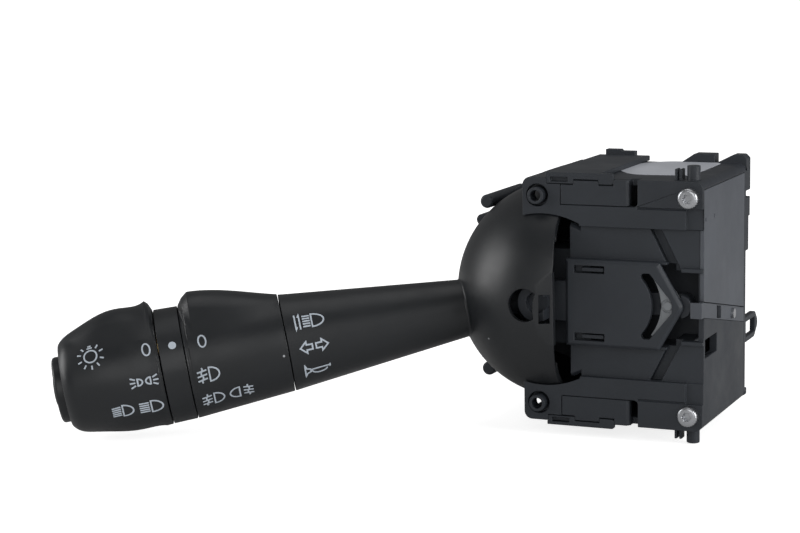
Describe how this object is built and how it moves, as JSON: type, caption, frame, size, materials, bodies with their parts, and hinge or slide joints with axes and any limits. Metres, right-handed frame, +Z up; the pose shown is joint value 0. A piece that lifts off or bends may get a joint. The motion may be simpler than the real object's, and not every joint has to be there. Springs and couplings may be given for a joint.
{
  "type": "combination stalk switch",
  "caption": "Steering column stalk switch with a tilting and pulling lever, turning lamp and fog rings, a horn push at the tip, and a square switch housing with a cancelling pawl.",
  "frame": {"origin": "midway between the two mounting holes, on the front face of the housing's ears", "axes": "+X towards the steering column, +Y away from the driver, +Z up; the lever points to -X and leans to -Y"},
  "size_m": [0.1879, 0.1281, 0.081],
  "materials": {
    "housing_plastic": "fine moulded grain",
    "side_plastic": "fine moulded grain",
    "lever_plastic": "satin moulded",
    "light_nylon": "smooth moulded",
    "zinc_steel": "bright zinc",
    "spring_steel": "drawn wire",
    "contact_brass": "plain"
  },
  "bodies": {
    "switch_housing": {"main_housing": "housing_plastic", "upper_latch_plate": "housing_plastic", "lower_latch_plate": "housing_plastic", "upper_cover": "housing_plastic", "lower_cover": "housing_plastic", "guide_plate": "housing_plastic", "side_panel": "side_plastic", "side_strip": "side_plastic", "rear_housing": "housing_plastic", "harness_loop": "housing_plastic", "connector_shroud": "housing_plastic", "connector_terminals": "contact_brass", "contact_carrier": "housing_plastic", "contact_tracks": "contact_brass", "detent_track": "housing_plastic", "mount_bushings": "zinc_steel", "front_screws": "zinc_steel", "rear_screws": "zinc_steel", "pawl_pin": "zinc_steel", "pawl_spring": "spring_steel", "strip_pin": "zinc_steel", "skirt_pin": "zinc_steel"},
    "yoke": {"gimbal_yoke": "housing_plastic", "detent_spring": "spring_steel"},
    "lever": {"lever_shell": "lever_plastic", "lever_core": "lever_plastic", "lever_pivot_pin": "zinc_steel", "index_ring": "lever_plastic", "fog_contact_ring": "contact_brass", "knob_retainer": "lever_plastic", "horn_contact": "contact_brass", "flash_return_spring": "spring_steel"},
    "light_switch": {"light_knob": "lever_plastic", "light_wiper": "contact_brass", "horn_spring": "spring_steel"},
    "fog_switch": {"fog_ring": "lever_plastic", "fog_wiper": "contact_brass"},
    "horn_push": {"horn_button": "lever_plastic", "horn_push_rod": "light_nylon"},
    "cancelling_pawl": {"cancel_pawl": "light_nylon", "pawl_arm": "lever_plastic"},
    "carriage": {"indicator_carriage": "light_nylon"},
    "dip_switch": {"dip_slider": "light_nylon"},
    "detent": {"detent_plunger": "zinc_steel"}
  },
  "joints": [
    {"name": "indicator_tilt", "type": "hinge", "parent": "switch_housing", "child": "yoke", "pos_m": [0.0015, 0.022, 0], "axis": [0, 1, 0], "range_deg": [-8, 8]},
    {"name": "flash_pull", "type": "hinge", "parent": "yoke", "child": "lever", "pos_m": [0.0015, 0.022, 0], "axis": [0, 0, 1], "range_deg": [0, 6], "stiffness_Nm_per_rad": 1.2, "springref_deg": -4.58},
    {"name": "light_switch_turn", "type": "hinge", "parent": "lever", "child": "light_switch", "pos_m": [0.0015, 0.022, 0], "axis": [-0.8554, -0.4938, -0.1564], "range_deg": [0, 60]},
    {"name": "fog_switch_turn", "type": "hinge", "parent": "lever", "child": "fog_switch", "pos_m": [0.0015, 0.022, 0], "axis": [-0.8554, -0.4938, -0.1564], "range_deg": [0, 60]},
    {"name": "horn_press", "type": "slide", "parent": "light_switch", "child": "horn_push", "axis": [0.8554, 0.4938, 0.1564], "range_m": [0, 0.002], "stiffness_N_per_m": 700, "springref_m": -0.0015},
    {"name": "cancel_pawl_swing", "type": "hinge", "parent": "switch_housing", "child": "cancelling_pawl", "pos_m": [0.0232, 0, 0], "axis": [0, 1, 0], "range_deg": [-9, 9], "stiffness_Nm_per_rad": 0.05},
    {"name": "carriage_slide", "type": "slide", "parent": "switch_housing", "child": "carriage", "axis": [0, 0, -1], "range_m": [-0.0032, 0.0032]},
    {"name": "dip_slide", "type": "slide", "parent": "yoke", "child": "dip_switch", "axis": [0, 1, 0], "range_m": [0, 0.00075]},
    {"name": "detent_press", "type": "slide", "parent": "yoke", "child": "detent", "axis": [-1, 0, 0], "range_m": [0, 0.001], "stiffness_N_per_m": 900, "springref_m": -0.0008}
  ],
  "couplings": [
    {"joint": "carriage_slide", "follows": "indicator_tilt", "m_per_rad": 0.0225},
    {"joint": "dip_slide", "follows": "flash_pull", "m_per_rad": 0.007}
  ]
}
